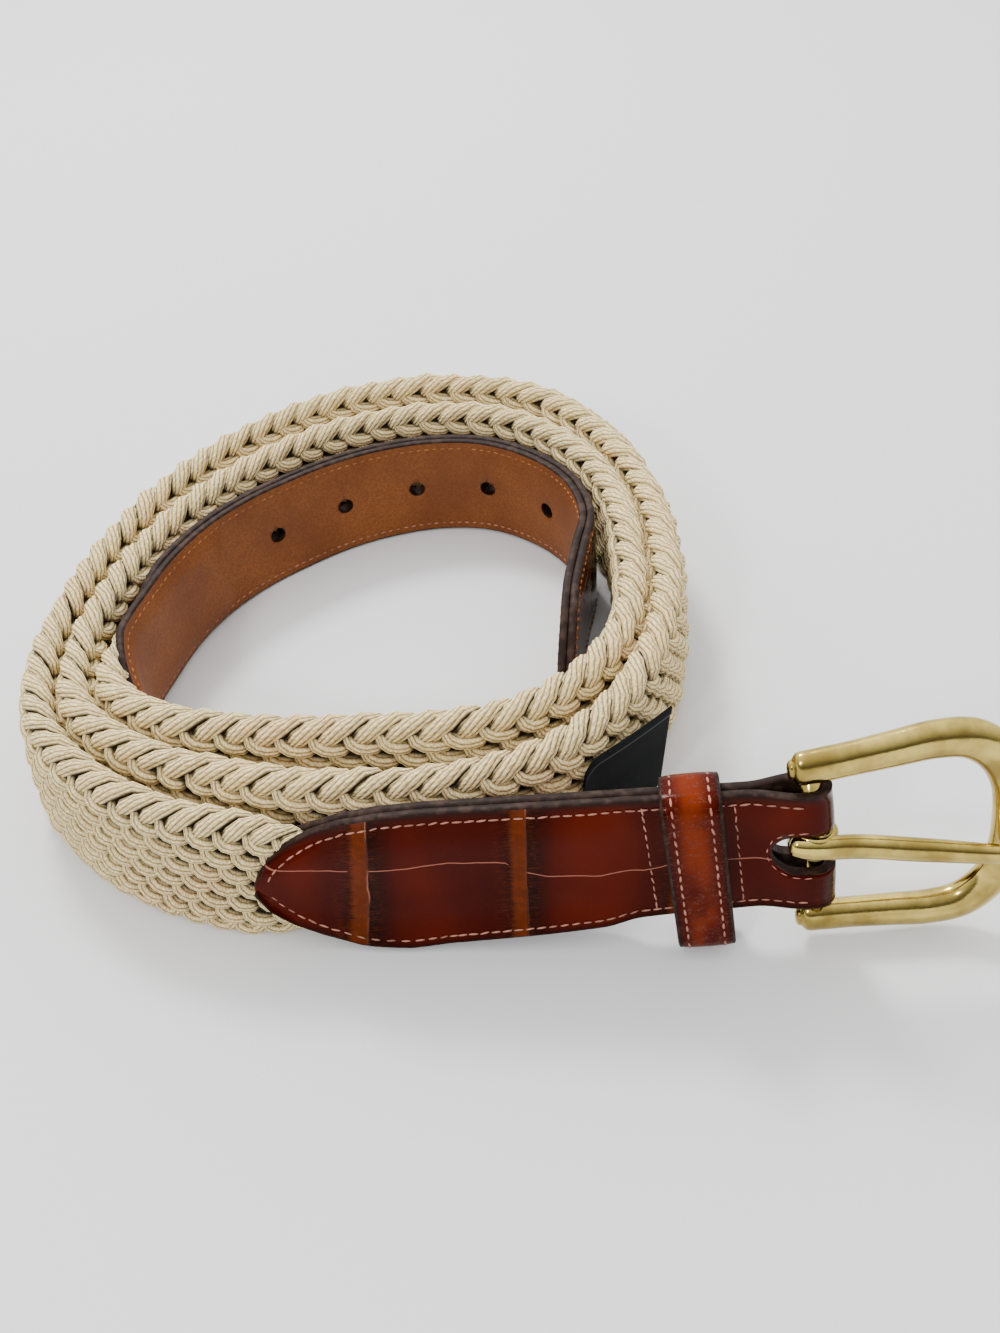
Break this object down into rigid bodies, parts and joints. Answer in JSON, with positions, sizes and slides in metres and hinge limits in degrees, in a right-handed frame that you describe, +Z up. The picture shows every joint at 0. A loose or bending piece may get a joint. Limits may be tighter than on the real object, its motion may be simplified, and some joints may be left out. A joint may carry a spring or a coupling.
{
  "type": "braided belt",
  "caption": "Coiled braided cord belt with leather tab and tip, a leather keeper and a solid brass buckle, standing on its edge.",
  "frame": {"origin": "middle of the belt's footprint, on the surface it stands on", "axes": "+X from the coil's left side to the buckle's toe, +Y from the buckle tab at the front to the back of the coil, +Z up across the strap's width"},
  "size_m": [0.2138, 0.1966, 0.0547],
  "materials": {
    "cord_cream": "rough",
    "croc_brown": "glossy",
    "keeper_brown": "glossy",
    "lining_tan": "satin",
    "brass": "polished",
    "label_black": "rough"
  },
  "bodies": {
    "strap": {"braid_strap": "cord_cream", "buckle_tab": "croc_brown", "tip_outer": "croc_brown", "tip_lining": "lining_tan", "label": "label_black", "keeper": "keeper_brown"},
    "buckle": {"buckle_frame": "brass"},
    "prong": {"prong": "brass"}
  },
  "joints": [
    {"name": "buckle_swing", "type": "hinge", "parent": "strap", "child": "buckle", "pos_m": [0.06492, -0.09053, 0.02588], "axis": [-0.0972, 0.125, 0.9874], "range_deg": [-40, 75]},
    {"name": "prong_lift", "type": "hinge", "parent": "buckle", "child": "prong", "pos_m": [0.06492, -0.09053, 0.02588], "axis": [0.0972, -0.125, -0.9874], "range_deg": [0, 85]}
  ]
}
